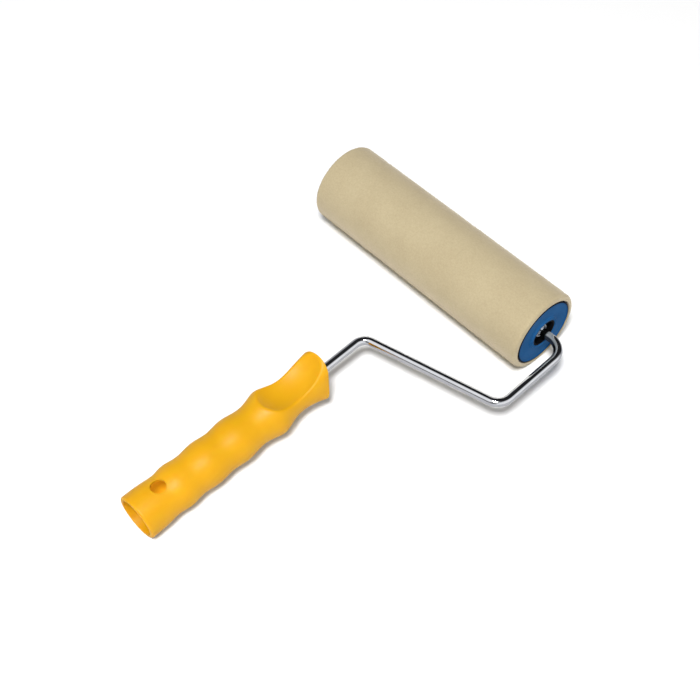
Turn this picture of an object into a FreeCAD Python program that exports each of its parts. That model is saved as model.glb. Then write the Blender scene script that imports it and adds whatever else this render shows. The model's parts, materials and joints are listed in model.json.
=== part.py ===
"""Paint roller: a napped sleeve on a fixed core, a bent wire frame and a moulded handle.

Shapes are drawn in the plane of the wire frame: x runs along the roller axis towards the end
where the wire comes out, the handle points along -y, and z is square to the frame. The whole
tool is then tilted about the roller axis until the handle's tail and the sleeve both rest on
the ground, and moved so that the origin is on the pole socket's axis, where its round wall
begins just inside the tail's rounded lip.
"""
import FreeCAD
import Part
import math
import os

# Sleeve and core, centred on the roller axis
SLEEVE_LENGTH = 190.0
SLEEVE_RADIUS = 29.0
NAP_EDGE_RADIUS = 3.2
CORE_RADIUS = 25.0
CORE_WALL = 1.7
GLUE_GAP = 0.05

# End caps, pressed into the core
CAP_INSET = 0.1
CAP_FLANGE = 2.2
CAP_FLANGE_RADIUS = 24.3
CAP_EDGE_RADIUS = 0.7
CAP_SPIGOT_LENGTH = 14.0
CAP_SPIGOT_WALL = 2.0
CAP_PANEL_DEPTH = 0.35
CAP_PANEL_INNER_RADIUS = 13.4
CAP_PANEL_OUTER_RADIUS = 22.8
HUB_BORE_RADIUS = 10.3
HUB_WALL = 1.8
HUB_PROUD = 0.7
HUB_LENGTH = 20.0
CAP_RIBS = 6
CAP_RIB_THICKNESS = 1.5
CAP_RIB_DEPTH = 8.0

# Bearings: black bushes, one in each cap's hub, running on the wire
BEARING_RIM_DROP = 0.5
BEARING_RIM_WALL = 1.3
BEARING_DISH_DEPTH = 4.0
BEARING_DISH_DRAFT = 0.7
BEARING_WEB = 2.5
BEARING_TUBE_WALL = 2.5
BEARING_LENGTH = 18.0
RUNNING_GAP = 0.05
END_FLOAT = 0.3

# Washers that hold the roller along the wire
THRUST_WASHER_RADIUS = 4.9
THRUST_WASHER_BORE = 3.2
THRUST_WASHER_THICKNESS = 0.8
STAR_RADIUS = 4.5
STAR_RIM_INNER_RADIUS = 3.9
STAR_THICKNESS = 0.5
STAR_RISE = 0.8
STAR_TEETH = 6
STAR_SLOT_WIDTH = 1.1
PUSH_NUT_DOME_RADIUS = 3.9
PUSH_NUT_DOME_HEIGHT = 3.4
PUSH_NUT_TOP = 0.7
PUSH_NUT_ROUNDING = 1.2

# Wire frame
WIRE_RADIUS = 3.0
WIRE_REACH = 114.0
WIRE_ARM_LENGTH = 61.7
HANDLE_OFFSET = 14.4
HANDLE_BEND_DISTANCE = 86.4
BEND_RADII = (12.5, 10.5, 9.0)
WIRE_END_CHAMFER = 0.6
WIRE_IN_HANDLE_END = 196.0
FIN_REACH = 1.1
FIN_THICKNESS = 1.6
FIN_START = 176.0
FIN_LENGTH = 12.0

# Handle, turned about its own axis: distances are measured from the roller axis
HANDLE_END = 275.8
HANDLE_TAIL_RADIUS = 15.5
TAIL_EDGE_RADIUS = 0.8
HEAD_PROFILE = (
    (117.0, 23.2),
    (125.0, 19.7),
    (131.5, 16.6),
    (139.0, 14.2),
    (148.0, 12.7),
    (157.0, 13.5),
    (164.0, 15.6),
    (169.0, 16.5),
    (174.0, 15.5),
    (184.0, 13.8),
)
GRIP_FIRST_CREST = 198.0
GRIP_WAVE_PITCH = 23.5
GRIP_CRESTS = 3
GRIP_CREST_RADIUS = 15.35
GRIP_VALLEY_RADIUS = 14.3
TAIL_PROFILE = ((252.0, 14.45), (259.0, 14.85), (267.0, 15.4))
FRONT_SLANT_DEG = 14.8
FRONT_TOP_DISTANCE = 124.7
FRONT_TOP_HEIGHT = 19.6
FRONT_EDGE_RADIUS = 0.5

# The head's arched outline, seen end on: a round crown between two leaning flanks
HEAD_CROWN_RADIUS = 12.2
HEAD_CROWN_HEIGHT = 7.4
HEAD_FLANK_TILT_DEG = 15.2
HEAD_FLANK_END = 148.0
HEAD_FLANK_BLEND = 8.0

# Thumb rest scooped out of the handle's upper side
SCOOP_CENTRE_DISTANCE = 151.3
SCOOP_CENTRE_HEIGHT = 36.0
SCOOP_RADIUS = 30.7
SCOOP_CROSS_RADIUS = 25.0
SCOOP_EDGE_RADIUS = 0.4

# Openings in the handle
SOCKET_RADIUS = 12.75
SOCKET_DEPTH = 70.0
SOCKET_EDGE_RADIUS = 0.8
CHAMBER_RADIUS = 7.0
CHAMBER_START = 192.0
HANG_HOLE_RADIUS = 5.0
HANG_HOLE_FROM_END = 19.8
PRESS_GAP = 0.02

SLEEVE_HALF = SLEEVE_LENGTH / 2
CAP_FACE = SLEEVE_HALF - CAP_INSET
CORE_HALF = CAP_FACE - CAP_FLANGE
HUB_FACE = CAP_FACE + HUB_PROUD
CAP_SPIGOT_RADIUS = CORE_RADIUS - CORE_WALL - GLUE_GAP
BEARING_RADIUS = HUB_BORE_RADIUS - PRESS_GAP
BEARING_FACE = HUB_FACE - BEARING_RIM_DROP
BEARING_FLOOR = HUB_FACE - BEARING_DISH_DEPTH
THRUST_FACE = BEARING_FLOOR + END_FLOAT + THRUST_WASHER_THICKNESS
WIRE_FAR_END = THRUST_FACE + PUSH_NUT_DOME_HEIGHT - PUSH_NUT_TOP - 2 * GLUE_GAP
REST_TILT = math.asin((SLEEVE_RADIUS - HANDLE_TAIL_RADIUS) / HANDLE_END)

X_AXIS = FreeCAD.Vector(1, 0, 0)
Y_AXIS = FreeCAD.Vector(0, 1, 0)
Z_AXIS = FreeCAD.Vector(0, 0, 1)
ORIGIN = FreeCAD.Vector(0, 0, 0)


def at(x, y, z=0.0):
    return FreeCAD.Vector(x, y, z)


def turned(outline):
    """A solid turned about the roller axis from (place along the axis, radius) corners."""
    corners = [at(x, radius) for x, radius in outline]
    face = Part.Face(Part.makePolygon(corners + corners[:1]))
    return face.revolve(ORIGIN, X_AXIS, 360)


def round_edges(shape, radius, wanted):
    """Fillets every edge that the test picks out."""
    edges = [edge for edge in shape.Edges if wanted(edge)]
    return shape.makeFillet(radius, edges)


def circle_at(x, radius):
    """A test for a full circle of one radius, square to the roller axis at one place on it."""
    def test(edge):
        curve = edge.Curve
        if not isinstance(curve, Part.Circle):
            return False
        same_place = abs(curve.Center.x - x) < 0.01
        same_size = abs(curve.Radius - radius) < 0.01
        return same_place and same_size
    return test


def far_end(shape):
    """The same piece at the roller's other end."""
    return shape.mirror(ORIGIN, X_AXIS)


def pile_sleeve():
    """The napped cover, with soft rounded ends that stand a little past the caps."""
    inner = CORE_RADIUS + GLUE_GAP
    sleeve = turned((
        (-SLEEVE_HALF, inner),
        (SLEEVE_HALF, inner),
        (SLEEVE_HALF, SLEEVE_RADIUS),
        (-SLEEVE_HALF, SLEEVE_RADIUS),
    ))
    for end in (-SLEEVE_HALF, SLEEVE_HALF):
        sleeve = round_edges(sleeve, NAP_EDGE_RADIUS, circle_at(end, SLEEVE_RADIUS))
    return sleeve


def core_tube():
    inner = CORE_RADIUS - CORE_WALL
    return turned((
        (-CORE_HALF, inner),
        (CORE_HALF, inner),
        (CORE_HALF, CORE_RADIUS),
        (-CORE_HALF, CORE_RADIUS),
    ))


def end_cap():
    """A flat flange over the core's end, a spigot inside it and a proud hub collar."""
    spigot_inner = CAP_SPIGOT_RADIUS - CAP_SPIGOT_WALL
    spigot_end = CORE_HALF - CAP_SPIGOT_LENGTH
    hub_outer = HUB_BORE_RADIUS + HUB_WALL
    hub_end = HUB_FACE - HUB_LENGTH
    panel = CAP_FACE - CAP_PANEL_DEPTH
    cap = turned((
        (HUB_FACE, HUB_BORE_RADIUS),
        (HUB_FACE, hub_outer),
        (CAP_FACE, hub_outer),
        (CAP_FACE, CAP_PANEL_INNER_RADIUS),
        (panel, CAP_PANEL_INNER_RADIUS),
        (panel, CAP_PANEL_OUTER_RADIUS),
        (CAP_FACE, CAP_PANEL_OUTER_RADIUS),
        (CAP_FACE, CAP_FLANGE_RADIUS),
        (CORE_HALF, CAP_FLANGE_RADIUS),
        (CORE_HALF, CAP_SPIGOT_RADIUS),
        (spigot_end, CAP_SPIGOT_RADIUS),
        (spigot_end, spigot_inner),
        (CORE_HALF, spigot_inner),
        (CORE_HALF, hub_outer),
        (hub_end, hub_outer),
        (hub_end, HUB_BORE_RADIUS),
    ))
    cap = round_edges(cap, CAP_EDGE_RADIUS, circle_at(CAP_FACE, CAP_FLANGE_RADIUS))
    cap = round_edges(cap, CAP_PANEL_DEPTH, circle_at(HUB_FACE, hub_outer))
    rib_length = spigot_inner - hub_outer + 1.0
    rib = Part.makeBox(
        CAP_RIB_DEPTH,
        rib_length,
        CAP_RIB_THICKNESS,
        at(CORE_HALF - CAP_RIB_DEPTH, hub_outer - 0.5, -CAP_RIB_THICKNESS / 2),
    )
    for number in range(CAP_RIBS):
        next_rib = rib.copy()
        next_rib.rotate(ORIGIN, X_AXIS, number * 360 / CAP_RIBS)
        cap = cap.fuse(next_rib)
    return cap.removeSplitter()


def bearing():
    """A dished bush: a rim seen in the hub, a floor for the washers and a tube on the wire."""
    bore = WIRE_RADIUS + RUNNING_GAP
    tube_radius = bore + BEARING_TUBE_WALL
    mouth = BEARING_RADIUS - BEARING_RIM_WALL
    back = HUB_FACE - BEARING_LENGTH
    web_back = BEARING_FLOOR - BEARING_WEB
    bush = turned((
        (BEARING_FLOOR, bore),
        (BEARING_FLOOR, mouth - BEARING_DISH_DRAFT),
        (BEARING_FACE, mouth),
        (BEARING_FACE, BEARING_RADIUS),
        (back, BEARING_RADIUS),
        (back, BEARING_RADIUS - BEARING_RIM_WALL),
        (web_back, BEARING_RADIUS - BEARING_RIM_WALL),
        (web_back, tube_radius),
        (back, tube_radius),
        (back, bore),
    ))
    return round_edges(bush, BEARING_RIM_WALL / 4, circle_at(BEARING_FACE, mouth))


def thrust_washer():
    back = THRUST_FACE - THRUST_WASHER_THICKNESS
    return turned((
        (back, THRUST_WASHER_BORE),
        (THRUST_FACE, THRUST_WASHER_BORE),
        (THRUST_FACE, THRUST_WASHER_RADIUS),
        (back, THRUST_WASHER_RADIUS),
    ))


def star_washer():
    """A push-on washer whose sprung teeth grip the wire."""
    tip = WIRE_RADIUS + PRESS_GAP
    front = THRUST_FACE + STAR_THICKNESS
    washer = turned((
        (THRUST_FACE, STAR_RADIUS),
        (front, STAR_RADIUS),
        (front, STAR_RIM_INNER_RADIUS),
        (front + STAR_RISE, tip),
        (THRUST_FACE + STAR_RISE, tip),
        (THRUST_FACE, STAR_RIM_INNER_RADIUS),
    ))
    slot = Part.makeBox(
        4 * STAR_RISE,
        STAR_RIM_INNER_RADIUS,
        STAR_SLOT_WIDTH,
        at(THRUST_FACE - STAR_RISE, 0, -STAR_SLOT_WIDTH / 2),
    )
    for number in range(STAR_TEETH):
        next_slot = slot.copy()
        next_slot.rotate(ORIGIN, X_AXIS, number * 360 / STAR_TEETH)
        washer = washer.cut(next_slot)
    return washer


def push_nut():
    """A domed push-on cap that closes the wire's far end."""
    bore = WIRE_RADIUS + PRESS_GAP
    rim = THRUST_FACE + STAR_THICKNESS
    inside = THRUST_FACE + PUSH_NUT_DOME_HEIGHT - PUSH_NUT_TOP
    top = THRUST_FACE + PUSH_NUT_DOME_HEIGHT
    nut = turned((
        (THRUST_FACE, bore),
        (THRUST_FACE, STAR_RADIUS),
        (rim, STAR_RADIUS),
        (rim, PUSH_NUT_DOME_RADIUS),
        (top, PUSH_NUT_DOME_RADIUS),
        (top, 0),
        (inside, 0),
        (inside, bore),
    ))
    return round_edges(nut, PUSH_NUT_ROUNDING, circle_at(top, PUSH_NUT_DOME_RADIUS))


def bent_wire(corners, bend_radii, radius):
    """A round wire through flat corners, each rounded at its own centreline radius."""
    pieces = []
    start = corners[0]
    for index, bend in enumerate(bend_radii, 1):
        corner = corners[index]
        incoming = (corner - corners[index - 1]).normalize()
        outgoing = (corners[index + 1] - corner).normalize()
        turn = incoming.getAngle(outgoing)
        trim = bend * math.tan(turn / 2)
        bend_start = corner - incoming * trim
        normal = incoming.cross(outgoing).normalize()
        centre = bend_start + normal.cross(incoming) * bend
        pieces.append(straight_wire(start, bend_start, radius))
        disc = Part.Face(Part.Wire(Part.makeCircle(radius, bend_start, incoming)))
        pieces.append(disc.revolve(centre, normal, math.degrees(turn)))
        start = corner + outgoing * trim
    pieces.append(straight_wire(start, corners[-1], radius))
    return pieces[0].fuse(pieces[1:]).removeSplitter()


def straight_wire(start, end, radius):
    run = end - start
    return Part.makeCylinder(radius, run.Length, start, run)


def frame_wire():
    """The bent steel wire, from the roller's far end to the middle of the handle."""
    corners = (
        at(-WIRE_FAR_END, 0),
        at(WIRE_REACH, 0),
        at(WIRE_REACH, -WIRE_ARM_LENGTH),
        at(HANDLE_OFFSET, -HANDLE_BEND_DISTANCE),
        at(HANDLE_OFFSET, -WIRE_IN_HANDLE_END),
    )
    wire = bent_wire(corners, BEND_RADII, WIRE_RADIUS)
    wire = wire.fuse(wire_fins(0.0)).removeSplitter()
    ends = [edge for edge in wire.Edges if is_wire_end(edge)]
    return wire.makeChamfer(WIRE_END_CHAMFER, ends)


def is_wire_end(edge):
    middle = edge.CenterOfMass
    at_far_end = abs(middle.x + WIRE_FAR_END) < 0.01
    in_handle = abs(middle.y + WIRE_IN_HANDLE_END) < 0.01
    return at_far_end or in_handle


def wire_fins(clearance):
    """Two crimped fins that key the wire into the handle."""
    half_width = WIRE_RADIUS + FIN_REACH + clearance
    thickness = FIN_THICKNESS + 2 * clearance
    length = FIN_LENGTH + 2 * clearance
    corner = at(
        HANDLE_OFFSET - half_width,
        -FIN_START - FIN_LENGTH - clearance,
        -thickness / 2,
    )
    return Part.makeBox(2 * half_width, length, thickness, corner)


def handle_profile():
    """The handle's outline: the head and neck, then finger waves of one pitch, then the tail."""
    outline = list(HEAD_PROFILE)
    for number in range(GRIP_CRESTS):
        crest = GRIP_FIRST_CREST + number * GRIP_WAVE_PITCH
        if number > 0:
            outline.append((crest - GRIP_WAVE_PITCH / 2, GRIP_VALLEY_RADIUS))
        outline.append((crest, GRIP_CREST_RADIUS))
    outline += TAIL_PROFILE
    outline.append((HANDLE_END, HANDLE_TAIL_RADIUS))
    return outline


def handle_blank():
    """The handle before anything is cut from it."""
    points = [at(radius, -distance) for distance, radius in handle_profile()]
    curve = Part.BSplineCurve()
    curve.interpolate(points)
    front = at(0, points[0].y)
    tail = at(0, points[-1].y)
    sides = Part.makePolygon([points[-1], tail, front, points[0]])
    blank = Part.Face(Part.Wire([curve.toShape()] + sides.Edges)).revolve(ORIGIN, Y_AXIS, 360)
    blank.rotate(ORIGIN, Y_AXIS, 90)
    blank.translate(at(HANDLE_OFFSET, 0))
    return blank


def scoop():
    """A barrel-shaped cutter lying across the handle, which leaves a spoon-shaped hollow."""
    half = SCOOP_CROSS_RADIUS * 0.9
    edge = math.sqrt(SCOOP_CROSS_RADIUS ** 2 - half ** 2)
    core = SCOOP_RADIUS - SCOOP_CROSS_RADIUS
    left = at(-half, core + edge)
    right = at(half, core + edge)
    crown = Part.Arc(left, at(0, SCOOP_RADIUS), right).toShape()
    sides = Part.makePolygon([right, at(half, 0), at(-half, 0), left])
    barrel = Part.Face(Part.Wire([crown] + sides.Edges)).revolve(ORIGIN, X_AXIS, 360)
    barrel.translate(at(HANDLE_OFFSET, -SCOOP_CENTRE_DISTANCE, SCOOP_CENTRE_HEIGHT))
    return barrel


def front_trim():
    """A block ahead of the handle's slanted front face."""
    size = 80.0
    block = Part.makeBox(size, size, size, at(-size / 2, 0, -size / 2))
    block.rotate(ORIGIN, X_AXIS, -FRONT_SLANT_DEG)
    block.translate(at(HANDLE_OFFSET, -FRONT_TOP_DISTANCE, FRONT_TOP_HEIGHT))
    return block


def outside_head():
    """A block round the head that leaves only its arched outline."""
    size = 80.0
    tilt = math.radians(HEAD_FLANK_TILT_DEG)
    crown_top = at(0, 0, HEAD_CROWN_HEIGHT + HEAD_CROWN_RADIUS)
    shoulder_x = HEAD_CROWN_RADIUS * math.cos(tilt)
    shoulder_z = HEAD_CROWN_HEIGHT + HEAD_CROWN_RADIUS * math.sin(tilt)
    foot_x = shoulder_x + (shoulder_z + size / 2) * math.tan(tilt)
    right = at(shoulder_x, 0, shoulder_z)
    left = at(-shoulder_x, 0, shoulder_z)
    crown = Part.Arc(left, crown_top, right).toShape()
    flanks = Part.makePolygon([right, at(foot_x, 0, -size / 2), at(-foot_x, 0, -size / 2), left])
    arch = Part.Face(Part.Wire([crown] + flanks.Edges)).extrude(at(0, size))
    block = Part.makeBox(size, size, size, at(-size / 2, 0, -size / 2))
    outside = block.cut(arch)
    outside.translate(at(HANDLE_OFFSET, -HEAD_FLANK_END))
    return outside


def along_handle(radius, start, end):
    """A round bar on the handle's axis, between two distances from the roller axis."""
    return straight_wire(at(HANDLE_OFFSET, -start), at(HANDLE_OFFSET, -end), radius)


def ring_at_distance(distance):
    """A test for an edge that lies wholly at one distance along the handle."""
    def test(edge):
        box = edge.BoundBox
        return abs(box.YMin + distance) < 0.01 and abs(box.YMax + distance) < 0.01
    return test


def is_flank_edge(edge):
    """The curved edge where a leaning flank meets the flare behind it."""
    box = edge.BoundBox
    beside_axis = abs(box.Center.x - HANDLE_OFFSET) > HEAD_CROWN_RADIUS / 2
    below_crown = box.ZMax < HEAD_CROWN_HEIGHT + HEAD_CROWN_RADIUS / 2
    runs_along = WIRE_RADIUS < box.YLength < HEAD_FLANK_END / 2
    is_straight = isinstance(edge.Curve, Part.Line)
    return beside_axis and below_crown and runs_along and not is_straight


def is_front_rim(edge):
    box = edge.BoundBox
    return box.YMin > -2 * FRONT_TOP_HEIGHT - FRONT_TOP_DISTANCE


def is_scoop_rim(edge):
    box = edge.BoundBox
    low_side = SCOOP_CENTRE_HEIGHT - SCOOP_RADIUS
    return box.ZMin > low_side and box.YLength > SCOOP_RADIUS


def handle_grip():
    """The moulded handle: thumb rest, finger waves, pole socket, hang hole and wire bore."""
    grip = handle_blank().cut(outside_head())
    grip = round_edges(grip, HEAD_FLANK_BLEND, is_flank_edge)
    grip = round_edges(grip.cut(front_trim()), FRONT_EDGE_RADIUS, is_front_rim)
    grip = round_edges(grip, TAIL_EDGE_RADIUS, ring_at_distance(HANDLE_END))
    grip = round_edges(grip.cut(scoop()), SCOOP_EDGE_RADIUS, is_scoop_rim)
    socket_floor = HANDLE_END - SOCKET_DEPTH
    grip = grip.cut(along_handle(SOCKET_RADIUS, socket_floor, HANDLE_END + 1))
    grip = round_edges(grip, SOCKET_EDGE_RADIUS, is_socket_mouth)
    hole_place = at(HANDLE_OFFSET, HANG_HOLE_FROM_END - HANDLE_END, -2 * HANDLE_TAIL_RADIUS)
    openings = (
        along_handle(CHAMBER_RADIUS, CHAMBER_START, socket_floor + 1),
        along_handle(WIRE_RADIUS + PRESS_GAP, FRONT_TOP_DISTANCE - 10, CHAMBER_START + 1),
        wire_fins(PRESS_GAP),
        Part.makeCylinder(HANG_HOLE_RADIUS, 4 * HANDLE_TAIL_RADIUS, hole_place, Z_AXIS),
    )
    for opening in openings:
        grip = grip.cut(opening)
    return grip


def is_socket_mouth(edge):
    at_end = ring_at_distance(HANDLE_END)(edge)
    return at_end and edge.Length < 2 * math.pi * (SOCKET_RADIUS + SOCKET_EDGE_RADIUS)


def placed(shape):
    """The shape in the tool's resting pose, with the pole socket's mouth at the origin."""
    shape = shape.copy()
    shape.rotate(ORIGIN, X_AXIS, math.degrees(REST_TILT))
    mouth = HANDLE_END - SOCKET_EDGE_RADIUS
    shape.translate(at(-HANDLE_OFFSET, mouth * math.cos(REST_TILT), mouth * math.sin(REST_TILT)))
    return shape


def main():
    pieces = {
        "handle_grip": handle_grip(),
        "frame_wire": frame_wire(),
        "near_star_washer": star_washer(),
        "near_thrust_washer": thrust_washer(),
        "far_push_nut": far_end(push_nut()),
        "far_thrust_washer": far_end(thrust_washer()),
        "pile_sleeve": pile_sleeve(),
        "core_tube": core_tube(),
        "near_end_cap": end_cap(),
        "far_end_cap": far_end(end_cap()),
        "near_bearing": bearing(),
        "far_bearing": far_end(bearing()),
    }
    os.makedirs("parts", exist_ok=True)
    for name, shape in pieces.items():
        placed(shape).exportStep("parts/" + name + ".step")


main()
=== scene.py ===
"""Looks of the paint roller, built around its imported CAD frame.

Pieces are drawn in tool millimetres: x runs along the roller axis from the roller's middle, y runs
from the handle towards the roller and z is square to the wire frame. The frame's joint and mounts
place them in the row frame, in metres.
"""
import json
import math

import bmesh
import bpy
import numpy as np
from mathutils import Matrix, Vector, noise


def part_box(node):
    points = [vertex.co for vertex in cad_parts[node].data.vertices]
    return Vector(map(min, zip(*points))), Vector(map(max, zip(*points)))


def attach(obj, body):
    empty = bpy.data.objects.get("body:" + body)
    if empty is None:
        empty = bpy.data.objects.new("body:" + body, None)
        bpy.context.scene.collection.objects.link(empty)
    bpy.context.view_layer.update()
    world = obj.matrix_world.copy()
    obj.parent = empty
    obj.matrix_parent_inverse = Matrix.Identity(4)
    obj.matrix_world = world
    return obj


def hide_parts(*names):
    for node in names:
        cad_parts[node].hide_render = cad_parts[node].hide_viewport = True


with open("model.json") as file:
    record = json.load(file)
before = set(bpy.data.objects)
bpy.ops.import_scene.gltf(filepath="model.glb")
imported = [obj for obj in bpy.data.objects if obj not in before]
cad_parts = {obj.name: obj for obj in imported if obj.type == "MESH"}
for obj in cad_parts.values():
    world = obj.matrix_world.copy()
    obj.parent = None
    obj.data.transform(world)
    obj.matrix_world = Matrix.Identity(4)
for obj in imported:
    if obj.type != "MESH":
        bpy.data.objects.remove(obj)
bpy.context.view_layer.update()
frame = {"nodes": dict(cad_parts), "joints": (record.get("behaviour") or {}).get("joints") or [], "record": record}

# Places taken from the frame
MM = 0.001
MOUNTS = {mount["name"]: mount for mount in frame["record"]["mounts"]}
AXLE = Vector(frame["joints"][0]["pos_m"])
SIDE = Vector((1, 0, 0))
FORWARD = -Vector(MOUNTS["pole_socket"]["axis"])
UP = Vector(MOUNTS["hang_hole"]["axis"])
SLEEVE_LOW, SLEEVE_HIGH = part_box("pile_sleeve")
CAP_LOW, CAP_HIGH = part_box("near_end_cap")
WIRE_FAR_END = (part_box("frame_wire")[0].x - AXLE.x) / MM
HANDLE_OFFSET = (MOUNTS["pole_socket"]["pos_m"][0] - AXLE.x) / MM
FLOOR_Z = SLEEVE_LOW.z

# Shared by every piece
FIT_GAP = 0.02
SHARP_ANGLE = math.radians(40)

# Sleeve and its nap
SLEEVE_HALF = (SLEEVE_HIGH.x - SLEEVE_LOW.x) / 2 / MM
SLEEVE_RADIUS = (SLEEVE_HIGH.z - SLEEVE_LOW.z) / 2 / MM
SLEEVE_INNER_RADIUS = 25.06
NAP_EDGE_ROUNDING = 3.3
NAP_EDGE_TRIM = NAP_EDGE_ROUNDING * 0.9
NAP_MOUTH_TRIM = 0.2
NAP_ROW_STEP = 0.75
NAP_HIDDEN_ROW_STEP = 8
NAP_COLUMNS = 288
NAP_SINK = 0.25
NAP_ROOT_DEPTH = 1.5
NAP_LUMP = 0.12
NAP_LUMP_DENSITY = 0.9
NAP_SWELL_DENSITY = 0.13
NAP_SWELL_SHARE = 0.7
NAP_SEAM_PITCH = 82.0
NAP_SEAM_SLANT = 0.91
NAP_SEAM_DEPTH = 0.22
NAP_SEAM_WIDTH = 0.8
FIBRE_SEED = 7
FIBRE_COUNT = 52000
FIBRE_LENGTH = (0.3, 0.7)
FIBRE_WIDTH = 0.09
FIBRE_LEAN = 0.55
FIBRE_LEAST_RISE = 0.35
FIBRE_ROOT_DEPTH = 0.15
FIBRE_SIDEWAYS = (0.31, 0.55, 0.77)

# End caps and bearings
HUB_PROUD = 0.7
HUB_FACE = (CAP_HIGH.x - AXLE.x) / MM
CAP_FACE = HUB_FACE - HUB_PROUD
CAP_RADIUS = (CAP_HIGH.z - CAP_LOW.z) / 2 / MM
CAP_FLANGE = 2.2
CAP_EDGE_SHADE = 1.1
CAP_SPIGOT_RADIUS = 23.25
CAP_SPIGOT_WALL = 2.0
CAP_SPIGOT_LENGTH = 14.0
CAP_PANEL_DEPTH = 0.35
CAP_PANEL_RADII = (13.4, 22.8)
CAP_RIBS = 6
CAP_RIB_THICKNESS = 1.5
CAP_RIB_DEPTH = 8.0
CAP_RIB_OVERLAP = 0.5
HUB_BORE_RADIUS = 10.3
HUB_WALL = 1.8
HUB_LENGTH = 20.0
BEARING_RADIUS = HUB_BORE_RADIUS - FIT_GAP
BEARING_RIM_DROP = 0.5
BEARING_RIM_WALL = 1.3
BEARING_DISH_DEPTH = 4.0
BEARING_DISH_DRAFT = 0.7
BEARING_WEB = 2.5
BEARING_TUBE_RADIUS = 5.55
BEARING_BORE_RADIUS = 3.05
BEARING_LENGTH = 18.0
LATHE_COLUMNS = 144

# Wire frame
WIRE_RADIUS = 3.0
WIRE_REACH = 114.0
WIRE_ARM_LENGTH = 61.7
HANDLE_BEND_DISTANCE = 86.4
BEND_RADII = (12.5, 10.5, 9.0)
WIRE_END_CHAMFER = 0.6
WIRE_IN_HANDLE_END = 196.0
CRIMP_START = 176.0
CRIMP_LENGTH = 12.0
CRIMP_WIDTH = 4.1
WIRE_COLUMNS = 56
WIRE_STRAIGHT_ROWS = 12
WIRE_BEND_ROWS = 24
WIRE_LAST_ROWS = 60

# Handle, with distances measured from the roller axis
HANDLE_END = 275.8
TAIL_RADIUS = 15.5
TAIL_EDGE_ROUNDING = 1.4
SOCKET_EDGE_ROUNDING = 0.7
HEAD_PROFILE = (
    (117.0, 23.2),
    (125.0, 19.7),
    (131.5, 16.6),
    (139.0, 14.2),
    (148.0, 12.7),
    (157.0, 13.5),
    (164.0, 15.6),
    (169.0, 16.5),
    (174.0, 15.5),
    (184.0, 13.8),
)
GRIP_FIRST_CREST = 198.0
GRIP_WAVE_PITCH = 23.5
GRIP_CRESTS = 3
GRIP_CREST_RADIUS = 15.35
GRIP_VALLEY_RADIUS = 14.3
TAIL_PROFILE = ((252.0, 14.45), (259.0, 14.85), (267.0, 15.4))
FRONT_SLANT = math.radians(14.8)
FRONT_TOP_DISTANCE = 124.7
FRONT_TOP_HEIGHT = 19.6
FRONT_EDGE_ROUNDING = 0.7
HEAD_CROWN_RADIUS = 12.2
HEAD_CROWN_HEIGHT = 7.4
HEAD_FLANK_TILT = math.radians(15.2)
HEAD_FLANK_END = 148.0
HEAD_FLANK_BLEND = 2.2
SCOOP_DISTANCE = 151.3
SCOOP_HEIGHT = 36.0
SCOOP_RADIUS = 30.7
SCOOP_CROSS_RADIUS = 25.0
SCOOP_EDGE_BLENDS = (1.0, 1.7)
SCOOP_EDGE_REACH = (134.0, 163.0)
SOCKET_RADIUS = 12.75
SOCKET_DEPTH = 70.0
SOCKET_FLOOR_ROUNDING = 1.0
CHAMBER_RADIUS = 7.0
CHAMBER_START = 192.0
CHAMBER_EDGE_ROUNDING = 0.5
WIRE_BORE_RADIUS = WIRE_RADIUS + FIT_GAP
HANG_HOLE_RADIUS = 5.0
HANG_HOLE_DISTANCE = HANDLE_END - 19.8
HANG_HOLE_COLUMNS = 72
HANDLE_COLUMNS = 300
HANDLE_ROWS = 380
SOCKET_ROWS = 60
BORE_ROWS = 30
FRONT_ROWS = 12
ROUND_ROWS = 6
HALVINGS = 24
FRONT_SETTLING_STEPS = 20

# Looks, in metres
SOCKET_SHADE_AND_GLOW_RADII = (0.0129, 0.0130)
SOCKET_GLOW_RISE = (0.006, 0.018)
SOCKET_GLOW_FALL = (0.026, 0.060)
CAP_EDGE_FADE = 0.0002

# Camera and light
CAMERA_AZIMUTH = math.radians(46.88)
CAMERA_ELEVATION = math.radians(52.82)
CAMERA_ROLL = math.radians(-0.34)
CAMERA_DISTANCE = 0.8998
CAMERA_LENS = 68.54
CAMERA_TARGET = AXLE + Vector((0.00165, -0.08615, -0.02974))
KEY_DISTANCE = 2.4
KEY_SIZE = 0.52
KEY_POWER = 62.0
KEY_LEFT = 0.075
KEY_RAISED = 0.205
AMBIENT = 0.34
FLOOR_HALF = 3.0
FLOOR_FADE = (0.7, 2.0)


def to_world(points):
    """Tool millimetres, one point to a row, placed in the frame in metres."""
    return np.array(AXLE) + np.asarray(points, float) @ np.array([SIDE, FORWARD, UP]) * MM


def new_object(name, points, faces):
    """A smooth-shaded mesh object from points in tool millimetres."""
    mesh = bpy.data.meshes.new(name)
    mesh.from_pydata(to_world(points).tolist(), [], faces)
    mesh.polygons.foreach_set("use_smooth", [True] * len(mesh.polygons))
    obj = bpy.data.objects.new(name, mesh)
    bpy.context.scene.collection.objects.link(obj)
    return obj


def finish_piece(obj, material, body, slot, *nodes):
    """Points the faces outwards, sharpens hard edges and ties the piece to its CAD body."""
    mesh = obj.data
    shell = bmesh.new()
    shell.from_mesh(mesh)
    bmesh.ops.recalc_face_normals(shell, faces=shell.faces)
    shell.to_mesh(mesh)
    shell.free()
    mesh.set_sharp_from_angle(angle=SHARP_ANGLE)
    mesh.materials.clear()
    mesh.materials.append(material)
    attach(obj, body)
    if nodes:
        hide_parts(*nodes)
    return obj


def grid_faces(rows, columns, closed_rows):
    """Quads over a grid whose columns go right round, and whose rows may too."""
    faces = []
    last = rows if closed_rows else rows - 1
    for row in range(last):
        here = row * columns
        there = (row + 1) % rows * columns
        for column in range(columns):
            beside = (column + 1) % columns
            faces.append((here + column, here + beside, there + beside, there + column))
    return faces


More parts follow.
